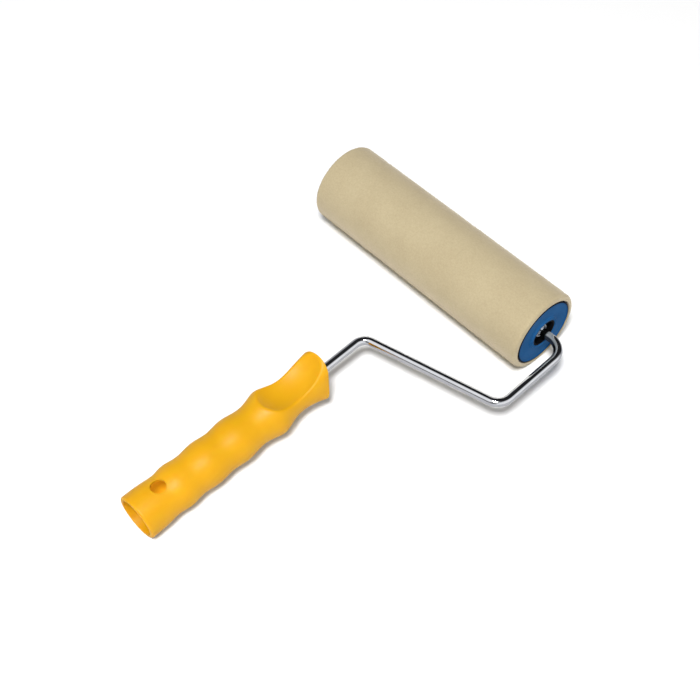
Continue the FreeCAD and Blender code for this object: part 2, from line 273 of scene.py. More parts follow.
def boolean(obj, tool, operation):
    """Cuts or joins one mesh with another, which is then thrown away."""
    cutter = obj.modifiers.new("cut", "BOOLEAN")
    cutter.operation = operation
    cutter.solver = "EXACT"
    cutter.object = tool
    bpy.context.view_layer.update()
    shaped = obj.evaluated_get(bpy.context.evaluated_depsgraph_get())
    mesh = bpy.data.meshes.new_from_object(shaped)
    obj.modifiers.clear()
    obj.data = mesh
    bpy.data.objects.remove(tool)


# Turned pieces ------------------------------------------------------------------------------


def rounded_outline(corners, steps=5):
    """A closed outline of (x, radius) points, where a corner's third number rounds it."""
    outline = []
    count = len(corners)
    for index, (x, radius, rounding) in enumerate(corners):
        corner = np.array((x, radius))
        if rounding == 0:
            outline.append(corner)
            continue
        before = np.array(corners[index - 1][:2]) - corner
        after = np.array(corners[(index + 1) % count][:2]) - corner
        start = corner + before / np.linalg.norm(before) * rounding
        end = corner + after / np.linalg.norm(after) * rounding
        for t in np.linspace(0, 1, steps):
            outline.append(start * (1 - t) ** 2 + corner * 2 * t * (1 - t) + end * t ** 2)
    return np.array(outline)


def lathe(name, outline, columns=LATHE_COLUMNS, end=1):
    """Turns a closed (x, radius) outline about the roller axis; end -1 mirrors it."""
    angles = np.linspace(0, 2 * math.pi, columns, endpoint=False)
    x = np.repeat(outline[:, 0:1] * end, columns, axis=1)
    y = np.outer(outline[:, 1], np.cos(angles))
    z = np.outer(outline[:, 1], np.sin(angles))
    points = np.stack((x, y, z), axis=-1).reshape(-1, 3)
    return new_object(name, points, grid_faces(len(outline), columns, True))


def cap_outline():
    """The cap's section: proud hub, sunk panel, flange and the spigot that presses into the core."""
    hub_outer = HUB_BORE_RADIUS + HUB_WALL
    panel = CAP_FACE - CAP_PANEL_DEPTH
    core_end = CAP_FACE - CAP_FLANGE
    spigot_inner = CAP_SPIGOT_RADIUS - CAP_SPIGOT_WALL
    spigot_end = core_end - CAP_SPIGOT_LENGTH
    hub_end = HUB_FACE - HUB_LENGTH
    return rounded_outline((
        (HUB_FACE, HUB_BORE_RADIUS, 0.2),
        (HUB_FACE, hub_outer, 0.45),
        (CAP_FACE, hub_outer, 0.5),
        (CAP_FACE, CAP_PANEL_RADII[0], 0.15),
        (panel, CAP_PANEL_RADII[0], 0.12),
        (panel, CAP_PANEL_RADII[1], 0.12),
        (CAP_FACE, CAP_PANEL_RADII[1], 0.15),
        (CAP_FACE, CAP_RADIUS, 0.7),
        (core_end, CAP_RADIUS, 0.2),
        (core_end, CAP_SPIGOT_RADIUS, 0),
        (spigot_end, CAP_SPIGOT_RADIUS, 0.4),
        (spigot_end, spigot_inner, 0.2),
        (core_end, spigot_inner, 0.4),
        (core_end, hub_outer, 0.4),
        (hub_end, hub_outer, 0.2),
        (hub_end, HUB_BORE_RADIUS, 0.2),
    ))


def cap_ribs(end):
    """Six ribs behind the flange, from the hub out to the spigot."""
    inner = HUB_BORE_RADIUS + HUB_WALL - CAP_RIB_OVERLAP
    outer = CAP_SPIGOT_RADIUS - CAP_SPIGOT_WALL + CAP_RIB_OVERLAP
    back = CAP_FACE - CAP_FLANGE
    sides = (
        (3, 2, 1, 0),
        (4, 5, 6, 7),
        (0, 1, 5, 4),
        (1, 2, 6, 5),
        (2, 3, 7, 6),
        (3, 0, 4, 7),
    )
    points = []
    faces = []
    for number in range(CAP_RIBS):
        turn = number * 2 * math.pi / CAP_RIBS
        out = np.array((0, math.cos(turn), math.sin(turn)))
        across = np.array((0, -math.sin(turn), math.cos(turn))) * CAP_RIB_THICKNESS / 2
        first = len(points)
        for x in (back - CAP_RIB_DEPTH, back + CAP_RIB_OVERLAP):
            for reach, side in ((inner, -1), (outer, -1), (outer, 1), (inner, 1)):
                points.append(np.array((x * end, 0, 0)) + out * reach + across * side)
        for corners in sides:
            faces.append([first + corner for corner in corners[::end]])
    return new_object("cap_ribs", points, faces)


def bearing_outline():
    """The bush's section: a dished face round a long tube for the wire."""
    face = HUB_FACE - BEARING_RIM_DROP
    floor = HUB_FACE - BEARING_DISH_DEPTH
    back = HUB_FACE - BEARING_LENGTH
    web_back = floor - BEARING_WEB
    mouth = BEARING_RADIUS - BEARING_RIM_WALL
    return rounded_outline((
        (floor, BEARING_BORE_RADIUS, 0.2),
        (floor, mouth - BEARING_DISH_DRAFT, 0.5),
        (face, mouth, 0.35),
        (face, BEARING_RADIUS, 0.25),
        (back, BEARING_RADIUS, 0.3),
        (back, mouth, 0.2),
        (web_back, mouth, 0.3),
        (web_back, BEARING_TUBE_RADIUS, 0.3),
        (back, BEARING_TUBE_RADIUS, 0.2),
        (back, BEARING_BORE_RADIUS, 0.2),
    ))


def add_end(prefix, end, blue, black):
    """A cap and its bearing at one end of the roller."""
    cap = lathe(prefix + "_cap", cap_outline(), end=end)
    boolean(cap, cap_ribs(end), "UNION")
    finish_piece(cap, blue, "roller", "cap_plastic", prefix + "_end_cap")
    bush = lathe(prefix + "_bush", bearing_outline(), end=end)
    finish_piece(bush, black, "roller", "bearing_plastic", prefix + "_bearing")


# Napped sleeve ------------------------------------------------------------------------------


def nap_outline():
    """The sleeve's outline with both nap edges rolled over, in short even steps."""
    corners = rounded_outline((
        (-SLEEVE_HALF, SLEEVE_INNER_RADIUS, NAP_MOUTH_TRIM),
        (-SLEEVE_HALF, SLEEVE_RADIUS, NAP_EDGE_TRIM),
        (SLEEVE_HALF, SLEEVE_RADIUS, NAP_EDGE_TRIM),
        (SLEEVE_HALF, SLEEVE_INNER_RADIUS, NAP_MOUTH_TRIM),
    ), steps=9)
    outline = []
    for index, start in enumerate(corners):
        end = corners[(index + 1) % len(corners)]
        gap = np.linalg.norm(end - start)
        seen = min(start[1], end[1]) > SLEEVE_INNER_RADIUS + 1
        step = NAP_ROW_STEP if seen else NAP_HIDDEN_ROW_STEP
        parts = max(1, round(gap / step))
        for part in range(parts):
            outline.append(start + (end - start) * part / parts)
    return np.array(outline)


def nap_lump(x, radius, angle):
    """How far the nap sinks at a place: soft lumps and the wound backing's spiral seam."""
    place = Vector((x, radius * math.cos(angle), radius * math.sin(angle)))
    lump = noise.fractal(place * NAP_LUMP_DENSITY, 0.8, 2.0, 3) * NAP_LUMP
    lump += noise.noise(place * NAP_SWELL_DENSITY) * NAP_LUMP * NAP_SWELL_SHARE
    turn = (x / NAP_SEAM_PITCH - angle / (2 * math.pi)) % 1.0
    from_seam = min(turn, 1 - turn) * NAP_SEAM_PITCH * NAP_SEAM_SLANT
    seam = math.exp(-(from_seam / NAP_SEAM_WIDTH) ** 2) * NAP_SEAM_DEPTH
    return NAP_SINK + max(-NAP_SINK, -lump) + seam


def nap_point(x, radius, angle):
    """A point on the nap's surface, from its place on the plain outline."""
    sunk = nap_lump(x, radius, angle)
    reach = min(1.0, (radius - SLEEVE_INNER_RADIUS) / NAP_ROOT_DEPTH)
    inward = radius - sunk * reach
    end = max(-1.0, min(1.0, (abs(x) - SLEEVE_HALF + NAP_EDGE_ROUNDING) / NAP_EDGE_ROUNDING))
    pulled = x - math.copysign(sunk * max(0.0, end) * reach, x)
    return pulled, inward * math.cos(angle), inward * math.sin(angle)


def add_nap(material):
    """The napped cover as one closed mesh."""
    outline = nap_outline()
    angles = np.linspace(0, 2 * math.pi, NAP_COLUMNS, endpoint=False)
    points = [nap_point(x, radius, angle) for x, radius in outline for angle in angles]
    nap = new_object("nap_sleeve", points, grid_faces(len(outline), NAP_COLUMNS, True))
    finish_piece(nap, material, "roller", "nap_fabric", "pile_sleeve")


def nap_site(draw):
    """A random place on the nap, with the way its fibre points: (point, direction)."""
    straight = 2 * (SLEEVE_HALF - NAP_EDGE_ROUNDING)
    rolled = NAP_EDGE_ROUNDING * math.pi / 2
    place = draw.uniform(0, straight + 2 * rolled)
    angle = draw.uniform(0, 2 * math.pi)
    if place < straight:
        x = place - straight / 2
        radius = SLEEVE_RADIUS
        tip = 0.0
    else:
        place -= straight
        side = 1 if place > rolled else -1
        tip = (place % rolled) / rolled * math.pi / 2
        x = side * (SLEEVE_HALF - NAP_EDGE_ROUNDING * (1 - math.sin(tip)))
        radius = SLEEVE_RADIUS - NAP_EDGE_ROUNDING * (1 - math.cos(tip))
        tip *= side
    point = np.array(nap_point(x, radius, angle))
    out = np.array((math.sin(tip), math.cos(tip) * math.cos(angle), math.cos(tip) * math.sin(angle)))
    return point, out


def add_fibres(material):
    """Short loose fibres over the nap, each a closed three-sided spike."""
    draw = np.random.default_rng(FIBRE_SEED)
    count = FIBRE_COUNT
    points = []
    faces = []
    for _ in range(count):
        root, out = nap_site(draw)
        lean = draw.normal(0, FIBRE_LEAN, 3)
        way = out + lean
        way /= np.linalg.norm(way)
        if way @ out < FIBRE_LEAST_RISE:
            way = out
        across = np.cross(way, FIBRE_SIDEWAYS)
        across /= np.linalg.norm(across)
        beside = np.cross(way, across)
        length = draw.uniform(*FIBRE_LENGTH)
        first = len(points)
        root = root - out * FIBRE_ROOT_DEPTH
        for turn in (0, 1, 2):
            angle = turn * 2 * math.pi / 3
            points.append(root + (across * math.cos(angle) + beside * math.sin(angle)) * FIBRE_WIDTH)
        points.append(root + way * length)
        faces += [
            (first, first + 1, first + 3),
            (first + 1, first + 2, first + 3),
            (first + 2, first, first + 3),
            (first + 2, first + 1, first),
        ]
    fibres = new_object("nap_fibres", points, faces)
    finish_piece(fibres, material, "roller", "nap_fabric")


# Wire frame ---------------------------------------------------------------------------------


def wire_centreline():
    """Points along the wire and the way it runs at each, from its far end to the handle."""
    corners = np.array((
        (WIRE_FAR_END, 0),
        (WIRE_REACH, 0),
        (WIRE_REACH, -WIRE_ARM_LENGTH),
        (HANDLE_OFFSET, -HANDLE_BEND_DISTANCE),
        (HANDLE_OFFSET, -WIRE_IN_HANDLE_END),
    ), float)
    line = []
    start = corners[0]
    for index, bend in enumerate(BEND_RADII, 1):
        corner = corners[index]
        incoming = corner - corners[index - 1]
        incoming /= np.linalg.norm(incoming)
        outgoing = corners[index + 1] - corner
        outgoing /= np.linalg.norm(outgoing)
        turn = math.acos(float(incoming @ outgoing))
        trim = bend * math.tan(turn / 2)
        side = math.copysign(1, incoming[0] * outgoing[1] - incoming[1] * outgoing[0])
        inwards = np.array((-incoming[1], incoming[0])) * side
        bend_start = corner - incoming * trim
        centre = bend_start + inwards * bend
        for t in np.linspace(0, 1, WIRE_STRAIGHT_ROWS, endpoint=False):
            line.append((start + (bend_start - start) * t, incoming))
        for t in np.linspace(0, turn, WIRE_BEND_ROWS, endpoint=False):
            spoke = -inwards * math.cos(t) + incoming * math.sin(t)
            way = incoming * math.cos(t) + inwards * math.sin(t)
            line.append((centre + spoke * bend, way))
        start = corner + outgoing * trim
    for t in np.linspace(0, 1, WIRE_LAST_ROWS):
        line.append((start + (corners[-1] - start) * t, outgoing))
    return line


def crimp(distance):
    """The wire's half width and half thickness at a distance inside the handle."""
    middle = CRIMP_START + CRIMP_LENGTH / 2
    press = max(0.0, 1 - abs(distance - middle) / (CRIMP_LENGTH / 2)) ** 0.5
    width = WIRE_RADIUS + (CRIMP_WIDTH - WIRE_RADIUS) * press
    return width, WIRE_RADIUS ** 2 / width


def add_wire(material):
    """The wire as rings along its centreline, chamfered and closed at both ends."""
    line = wire_centreline()
    first, way = line[0]
    last, last_way = line[-1]
    line[0] = (first + way * WIRE_END_CHAMFER, way)
    line[-1] = (last - last_way * WIRE_END_CHAMFER, last_way)
    end_radius = WIRE_RADIUS - WIRE_END_CHAMFER
    rings = [(first, way, end_radius, end_radius)]
    rings += [(place, way, *crimp(-place[1])) for place, way in line]
    rings.append((last, last_way, end_radius, end_radius))
    angles = np.linspace(0, 2 * math.pi, WIRE_COLUMNS, endpoint=False)
    points = []
    for place, way, width, thickness in rings:
        for angle in angles:
            across = width * math.cos(angle)
            points.append((
                place[0] - way[1] * across,
                place[1] + way[0] * across,
                thickness * math.sin(angle),
            ))
    faces = grid_faces(len(rings), WIRE_COLUMNS, False)
    faces.append(list(range(WIRE_COLUMNS))[::-1])
    faces.append(list(range(len(points) - WIRE_COLUMNS, len(points))))
    wire = new_object("bent_wire", points, faces)
    finish_piece(wire, material, "frame", "wire_chrome", "frame_wire")


# Handle -------------------------------------------------------------------------------------


def handle_profile():
    """(distance, radius) points: the head and neck, then finger waves of one pitch, then the tail."""
    outline = list(HEAD_PROFILE)
    for number in range(GRIP_CRESTS):
        crest = GRIP_FIRST_CREST + number * GRIP_WAVE_PITCH
        if number > 0:
            outline.append((crest - GRIP_WAVE_PITCH / 2, GRIP_VALLEY_RADIUS))
        outline.append((crest, GRIP_CREST_RADIUS))
    outline += TAIL_PROFILE
    outline.append((HANDLE_END, TAIL_RADIUS))
    return np.array(outline)


def spline_slopes(x, y):
    """Slopes of the smooth cubic curve through points, with straight ends."""
    gap = np.diff(x)
    rise = np.diff(y) / gap
    count = len(x)
    system = np.zeros((count, count))
    right = np.zeros(count)
    system[0, :2] = 2, 1
    right[0] = 3 * rise[0]
    system[-1, -2:] = 1, 2
    right[-1] = 3 * rise[-1]
    for i in range(1, count - 1):
        system[i, i - 1] = gap[i]
        system[i, i] = 2 * (gap[i - 1] + gap[i])
        system[i, i + 1] = gap[i - 1]
        right[i] = 3 * (gap[i] * rise[i - 1] + gap[i - 1] * rise[i])
    return np.linalg.solve(system, right)


PROFILE = handle_profile()
SLOPES = spline_slopes(PROFILE[:, 0], PROFILE[:, 1])


def profile_radius(distance):
    """The turned handle's radius at each distance."""
    x, y = PROFILE[:, 0], PROFILE[:, 1]
    i = np.clip(np.searchsorted(x, distance) - 1, 0, len(x) - 2)
    gap = x[i + 1] - x[i]
    t = (distance - x[i]) / gap
    start = (1 + 2 * t) * (1 - t) ** 2 * y[i] + t * (1 - t) ** 2 * gap * SLOPES[i]
    return start + t * t * (3 - 2 * t) * y[i + 1] + t * t * (t - 1) * gap * SLOPES[i + 1]


def smooth_max(a, b, width):
    """The larger of two arrays, with a rounded crossover."""
    share = np.clip(0.5 + 0.5 * (a - b) / width, 0, 1)
    return a * share + b * (1 - share) + width * share * (1 - share)


def handle_excess(distance, angle, radius):
    """How far a place stands outside the handle's skin; angle 0 is straight up."""
    x = radius * np.sin(angle)
    z = radius * np.cos(angle)
    skin = radius - profile_radius(distance)
    flank_reach = HEAD_CROWN_RADIUS + HEAD_CROWN_HEIGHT * math.sin(HEAD_FLANK_TILT)
    flank = np.abs(x) * math.cos(HEAD_FLANK_TILT) + z * math.sin(HEAD_FLANK_TILT) - flank_reach
    crown = np.hypot(x, z - HEAD_CROWN_HEIGHT) - HEAD_CROWN_RADIUS
    in_crown = z - HEAD_CROWN_HEIGHT > np.abs(x) * math.tan(HEAD_FLANK_TILT)
    arch = np.where(in_crown, crown, flank)
    arch = np.where(distance < HEAD_FLANK_END, arch, -HEAD_CROWN_RADIUS)
    skin = smooth_max(skin, arch, HEAD_FLANK_BLEND)
    barrel_core = SCOOP_RADIUS - SCOOP_CROSS_RADIUS
    barrel = barrel_core + np.sqrt(np.maximum(SCOOP_CROSS_RADIUS ** 2 - x ** 2, 0))
    hollow = barrel - np.hypot(distance - SCOOP_DISTANCE, z - SCOOP_HEIGHT)
    edge = np.interp(distance, SCOOP_EDGE_REACH, SCOOP_EDGE_BLENDS)
    return smooth_max(skin, hollow, edge)


def handle_radius(distance, angle):
    """The handle's radius at each distance and angle, found by halving."""
    low = np.full(distance.shape, WIRE_RADIUS)
    high = np.full(distance.shape, 2 * TAIL_RADIUS)
    for _ in range(HALVINGS):
        middle = (low + high) / 2
        outside = handle_excess(distance, angle, middle) > 0
        high = np.where(outside, middle, high)
        low = np.where(outside, low, middle)
    return (low + high) / 2


def front_distance(radius, angle):
    """Where the slanted front face lies for each radius and angle."""
    return FRONT_TOP_DISTANCE + (FRONT_TOP_HEIGHT - radius * np.cos(angle)) * math.tan(FRONT_SLANT)


def handle_skin(angles):
    """The handle's outer skin as (distance, radius) rows from the front rim to the tail."""
    front = np.full(len(angles), FRONT_TOP_DISTANCE + 3)
    for _ in range(FRONT_SETTLING_STEPS):
        front = front_distance(handle_radius(front, angles), angles)
    skin_end = HANDLE_END - TAIL_EDGE_ROUNDING
    share = np.linspace(0, 1, HANDLE_ROWS)[:, None]
    start = front + FRONT_EDGE_ROUNDING
    distance = start + (skin_end - start) * share
    angle = np.broadcast_to(angles, distance.shape)
    radius = handle_radius(distance, angle)
    rim_radius = handle_radius(front, angles)
    inner = rim_radius - FRONT_EDGE_ROUNDING
    rim = []
    for t in np.linspace(0, 1, ROUND_ROWS)[:-1]:
        near = (1 - t) ** 2
        mid = 2 * t * (1 - t)
        rim.append((
            near * front_distance(inner, angles) + mid * front + t * t * distance[0],
            near * inner + mid * rim_radius + t * t * radius[0],
        ))
    rows = rim + list(zip(distance, radius))
    return rows, inner


def handle_inside(angles, inner):
    """Rows from the tail's rim through the socket and the wire bore to the front face."""
    full = np.ones(len(angles))
    rows = []
    outer = TAIL_RADIUS - TAIL_EDGE_ROUNDING
    mouth = SOCKET_RADIUS + SOCKET_EDGE_ROUNDING
    edge = HANDLE_END - TAIL_EDGE_ROUNDING
    mouth_edge = HANDLE_END - SOCKET_EDGE_ROUNDING
    for t in np.linspace(0, math.pi / 2, ROUND_ROWS)[1:]:
        rows.append((edge + TAIL_EDGE_ROUNDING * math.sin(t), outer + TAIL_EDGE_ROUNDING * math.cos(t)))
    for t in np.linspace(0, math.pi / 2, ROUND_ROWS):
        rounding = SOCKET_EDGE_ROUNDING
        rows.append((mouth_edge + rounding * math.cos(t), mouth - rounding * math.sin(t)))
    socket_floor = HANDLE_END - SOCKET_DEPTH
    round_start = socket_floor + SOCKET_FLOOR_ROUNDING
    for distance in np.linspace(mouth_edge, round_start, SOCKET_ROWS)[1:]:
        rows.append((distance, SOCKET_RADIUS))
    corner_inset = SOCKET_FLOOR_ROUNDING * 0.3
    rows += [
        (socket_floor + corner_inset, SOCKET_RADIUS - corner_inset),
        (socket_floor, SOCKET_RADIUS - SOCKET_FLOOR_ROUNDING),
        (socket_floor, CHAMBER_RADIUS + CHAMBER_EDGE_ROUNDING),
        (socket_floor - CHAMBER_EDGE_ROUNDING, CHAMBER_RADIUS),
        (CHAMBER_START, CHAMBER_RADIUS),
        (CHAMBER_START, WIRE_BORE_RADIUS),
    ]
    rows = [(distance * full, radius * full) for distance, radius in rows]
    bore = WIRE_BORE_RADIUS * full
    bore_front = front_distance(bore, angles)
    for t in np.linspace(0, 1, BORE_ROWS)[1:-1]:
        rows.append((CHAMBER_START + (bore_front - CHAMBER_START) * t, bore))
    for t in np.linspace(0, 1, FRONT_ROWS)[:-1]:
        radius = bore + (inner - bore) * t
        rows.append((front_distance(radius, angles), radius))
    return rows


def hang_hole_cutter():
    """A cylinder right through the tail, where the hang hole goes."""
    points = []
    count = HANG_HOLE_COLUMNS
    reach = 2 * TAIL_RADIUS
    for height in (-reach, reach):
        for step in range(count):
            turn = step * 2 * math.pi / count
            points.append((
                HANDLE_OFFSET + HANG_HOLE_RADIUS * math.cos(turn),
                -HANG_HOLE_DISTANCE + HANG_HOLE_RADIUS * math.sin(turn),
                height,
            ))
    faces = grid_faces(2, count, False)
    faces.append(list(range(count))[::-1])
    faces.append(list(range(count, 2 * count)))
    return new_object("hang_hole", points, faces)


def add_handle(material):
    """The handle's skin and its inside as one closed mesh, with the hang hole cut through."""
    angles = np.linspace(0, 2 * math.pi, HANDLE_COLUMNS, endpoint=False)
    skin, inner = handle_skin(angles)
    rows = skin + handle_inside(angles, inner)
    distance = np.array([row[0] for row in rows])
    radius = np.array([row[1] for row in rows])
    x = HANDLE_OFFSET + radius * np.sin(angles)
    z = radius * np.cos(angles)
    points = np.stack((x, -distance, z), axis=-1).reshape(-1, 3)
    handle = new_object("moulded_handle", points, grid_faces(len(rows), HANDLE_COLUMNS, True))
    boolean(handle, hang_hole_cutter(), "DIFFERENCE")
    finish_piece(handle, material, "frame", "handle_plastic", "handle_grip")


# Materials ----------------------------------------------------------------------------------


class Look:
    """A node material under construction, built round one Principled shader."""

    def __init__(self, name):
        self.material = bpy.data.materials.new(name)
        self.material.use_nodes = True
        self.tree = self.material.node_tree
        self.shader = self.tree.nodes["Principled BSDF"]
        self.place = self.node("ShaderNodeTexCoord").outputs["Object"]

    def node(self, kind, **settings):
        made = self.tree.nodes.new(kind)
        for key, value in settings.items():
            setattr(made, key, value)
        return made

    def link(self, source, target):
        self.tree.links.new(source, target)

    def put(self, **values):
        """Sets shader inputs; an underscore in a name stands for a space."""
        for key, value in values.items():
            self.shader.inputs[key.replace("_", " ")].default_value = value

    def noise(self, scale, detail=3.0, rough=0.55):
        made = self.node("ShaderNodeTexNoise")
        made.inputs["Scale"].default_value = scale
        made.inputs["Detail"].default_value = detail
        made.inputs["Roughness"].default_value = rough
        self.link(self.place, made.inputs["Vector"])
        return made.outputs["Fac"]

    def between(self, value, low, high, start=0.3, end=0.7):
        """Maps a value onto a range."""
        made = self.node("ShaderNodeMapRange")
        made.inputs["From Min"].default_value = start
        made.inputs["From Max"].default_value = end
        made.inputs["To Min"].default_value = low
        made.inputs["To Max"].default_value = high
        self.link(value, made.inputs["Value"])
        return made.outputs["Result"]

    def mix(self, share, first, second, blend="MIX"):
        """Mixes two colours, each given as a colour or as another node's output."""
        made = self.node("ShaderNodeMix", data_type="RGBA", blend_type=blend)
        if isinstance(share, float):
            made.inputs["Factor"].default_value = share
        else:
            self.link(share, made.inputs["Factor"])
        for socket, colour in ((made.inputs[6], first), (made.inputs[7], second)):
            if isinstance(colour, tuple):
                socket.default_value = (*colour, 1)
            else:
                self.link(colour, socket)
        return made.outputs[2]

    def vector(self, operation, first, second=None):
        """A vector node working on another node's output and, if given, a fixed vector."""
        made = self.node("ShaderNodeVectorMath", operation=operation)
        self.link(first, made.inputs[0])
        if second is not None:
            made.inputs[1].default_value = second
        return made.outputs

    def line_distance(self, point, direction):
        """Distance in metres from a line through a point."""
        offset = self.vector("SUBTRACT", self.place, point)["Vector"]
        across = self.vector("CROSS_PRODUCT", offset, direction)["Vector"]
        return self.vector("LENGTH", across)["Value"]

    def along(self, point, direction):
        """Distance in metres past a point, along a direction."""
        offset = self.vector("SUBTRACT", self.place, point)["Vector"]
        return self.vector("DOT_PRODUCT", offset, direction)["Value"]

    def seen_by(self, rays, colour, other):
        """Keeps one colour, but shows another to the named kind of rays."""
        path = self.node("ShaderNodeLightPath")
        return self.mix(path.outputs[rays], colour, other)

    def bumps(self, *layers):
        """Stacks bump layers, each a (height, strength, depth in metres)."""
        normal = None
        for height, strength, depth in layers:
            made = self.node("ShaderNodeBump")
            made.inputs["Strength"].default_value = strength
            made.inputs["Distance"].default_value = depth
            self.link(height, made.inputs["Height"])
            if normal is not None:
                self.link(normal, made.inputs["Normal"])
            normal = made.outputs["Normal"]
        self.link(normal, self.shader.inputs["Normal"])

    def colour(self, source):
        self.link(source, self.shader.inputs["Base Color"])

    def roughness(self, source):
        self.link(source, self.shader.inputs["Roughness"])


def handle_look():
    """Amber-yellow moulded plastic: slightly translucent, satin, with faint flow marks.

    Inside the socket it has painted shade, a deeper colour, and a painted glow standing in for light that comes
    through its wall.
    Bounced light sees a duller tan, so the floor beside the handle isn't tinted yellow.
    """
    look = Look("moulded_yellow")
    broad = look.between(look.noise(35.0), 0.0, 1.0)
    base = look.mix(broad, (0.665, 0.335, 0.001), (0.705, 0.356, 0.003))
    tail = AXLE + (SIDE * HANDLE_OFFSET - FORWARD * HANDLE_END) * MM
    inside = look.between(look.line_distance(tail, FORWARD), 1.0, 0.0, *SOCKET_SHADE_AND_GLOW_RADII)
    depth = look.along(tail, FORWARD)
    past_socket = look.between(depth, 0.0, 1.0, SOCKET_DEPTH * MM, (SOCKET_DEPTH + 1) * MM)
    # Painted shade: the socket's inside wall and floor get a darker amber than the outside.
    base = look.mix(inside, base, look.mix(past_socket, (0.59, 0.285, 0.001), base))
    look.colour(look.seen_by("Is Diffuse Ray", base, (0.62, 0.47, 0.30)))
    look.roughness(look.between(look.noise(260.0), 0.42, 0.52))
    # Painted glow inside the socket, standing in for light through the thin wall; it rises past the mouth and
    # fades deeper in.
    painted_glow = look.mix(inside, (0.0, 0.0, 0.0), (0.28, 0.125, 0.004))
    painted_glow = look.mix(look.between(depth, 0.0, 1.0, *SOCKET_GLOW_RISE), (0.0, 0.0, 0.0), painted_glow)
    painted_glow = look.mix(look.between(depth, 0.0, 1.0, *SOCKET_GLOW_FALL), painted_glow, (0.0, 0.0, 0.0))
    look.link(painted_glow, look.shader.inputs["Emission Color"])
    look.put(Emission_Strength=1.0)
    look.put(Subsurface_Weight=0.35, Subsurface_Scale=0.004, Subsurface_Radius=(1.0, 0.45, 0.08))
    look.put(IOR=1.36, Specular_IOR_Level=0.5)
    look.bumps((look.noise(900.0), 0.10, 0.0001), (look.noise(90.0), 0.06, 0.0006))
    return look.material


def wire_look():
    """Bright plated wire with a faintly uneven polish."""
    look = Look("plated_wire")
    cloud = look.between(look.noise(160.0), 0.0, 1.0)
    look.colour(look.mix(cloud, (0.66, 0.67, 0.69), (0.72, 0.73, 0.745)))
    look.roughness(look.between(look.noise(420.0), 0.06, 0.11))
    look.put(Metallic=1.0)
    look.bumps((look.noise(700.0), 0.03, 0.0001))
    return look.material


def washer_look():
    """Zinc-plated spring steel."""
    look = Look("zinc_plate")
    cloud = look.between(look.noise(500.0), 0.0, 1.0)
    look.colour(look.mix(cloud, (0.10, 0.13, 0.17), (0.62, 0.67, 0.72)))
    look.roughness(look.between(look.noise(900.0), 0.18, 0.32))
    look.put(Metallic=1.0)
    look.bumps((look.noise(1500.0), 0.08, 0.0001))
    return look.material


def cap_look():
    """Deep blue moulded plastic with a fine spark-eroded grain, with painted shade in a dark ring at its rim
    beside the nap. Mirrors see a painted reflection: pale on its upper side, dark below.
    """
    look = Look("moulded_blue")
    broad = look.between(look.noise(70.0), 0.0, 1.0)
    base = look.mix(broad, (0.011, 0.080, 0.220), (0.016, 0.096, 0.255))
    # Painted shade: a dark ring at the cap's rim, where the groove beside the nap is in shadow.
    edge = (CAP_RADIUS - CAP_EDGE_SHADE) * MM
    rim = look.between(look.line_distance(AXLE, SIDE), 0.0, 1.0, edge, edge + CAP_EDGE_FADE)
    base = look.mix(rim, base, (0.004, 0.006, 0.014))
    # Painted reflection: mirrors see the cap pale on its upper side and dark below.
    upper = look.between(look.along(AXLE, (FORWARD + UP).normalized()), 0.0, 1.0, -0.005, 0.004)
    painted_mirror_shading = look.mix(upper, (0.02, 0.03, 0.05), (0.36, 0.39, 0.41))
    look.colour(look.seen_by("Is Glossy Ray", base, painted_mirror_shading))
    look.roughness(look.between(look.noise(700.0), 0.36, 0.50))
    look.put(IOR=1.1, Specular_IOR_Level=0.3)
    look.bumps((look.noise(2200.0), 0.12, 0.0001))
    return look.material


def bearing_look():
    """Black nylon."""
    look = Look("black_nylon")
    broad = look.between(look.noise(200.0), 0.0, 1.0)
    look.colour(look.mix(broad, (0.0015, 0.0015, 0.002), (0.005, 0.005, 0.006)))
    look.roughness(look.between(look.noise(900.0), 0.35, 0.5))
    look.put(IOR=1.2, Specular_IOR_Level=0.15)
    look.bumps((look.noise(1800.0), 0.1, 0.0001))
    return look.material


def core_look():
    """Pale extruded tube."""
    look = Look("extruded_core")
    broad = look.between(look.noise(120.0), 0.0, 1.0)
    look.colour(look.mix(broad, (0.62, 0.60, 0.55), (0.70, 0.68, 0.62)))
    look.roughness(look.between(look.noise(600.0), 0.5, 0.65))
    look.bumps((look.noise(1200.0), 0.1, 0.0001))
    return look.material


def nap_look(name, dark, light):
    """Short cream velour: mottled tufts over broader patches, with a little sheen."""
    look = Look(name)
    tufts = look.between(look.noise(850.0, 4.0), 0.0, 1.0)
    patches = look.between(look.noise(42.0, 2.0), 0.0, 1.0)
    base = look.mix(tufts, dark, light)
    shade = look.mix(patches, (0.94, 0.93, 0.92), (1.0, 1.0, 1.0))
    pile = look.mix(1.0, base, shade, "MULTIPLY")
    # Painted reflection: mirrors see the nap paler than its own colour.
    look.colour(look.seen_by("Is Glossy Ray", pile, (0.90, 0.89, 0.87)))
    look.put(Roughness=0.95, Specular_IOR_Level=0.1)
    look.put(Sheen_Weight=0.35, Sheen_Roughness=0.5, Sheen_Tint=(1.0, 0.92, 0.84, 1.0))
    look.bumps((look.noise(1400.0, 5.0), 0.2, 0.0002), (look.noise(380.0), 0.15, 0.0003))
    return look.material


# Studio -------------------------------------------------------------------------------------


def camera_back():
    """From the camera's target towards the camera."""
    return Vector((
        math.sin(CAMERA_AZIMUTH) * math.cos(CAMERA_ELEVATION),
        -math.cos(CAMERA_AZIMUTH) * math.cos(CAMERA_ELEVATION),
        math.sin(CAMERA_ELEVATION),
    ))


def add_camera():
    """A camera that looks at the tool's middle, turned slightly about its own view."""
    data = bpy.data.cameras.new("camera")
    data.lens = CAMERA_LENS
    data.sensor_width = 36.0
    camera = bpy.data.objects.new("camera", data)
    bpy.context.scene.collection.objects.link(camera)
    back = camera_back()
    camera.location = CAMERA_TARGET + back * CAMERA_DISTANCE
    turn = (-back).to_track_quat("-Z", "Y").to_matrix()
    camera.rotation_euler = (turn @ Matrix.Rotation(CAMERA_ROLL, 3, "Z")).to_euler()
    bpy.context.scene.camera = camera


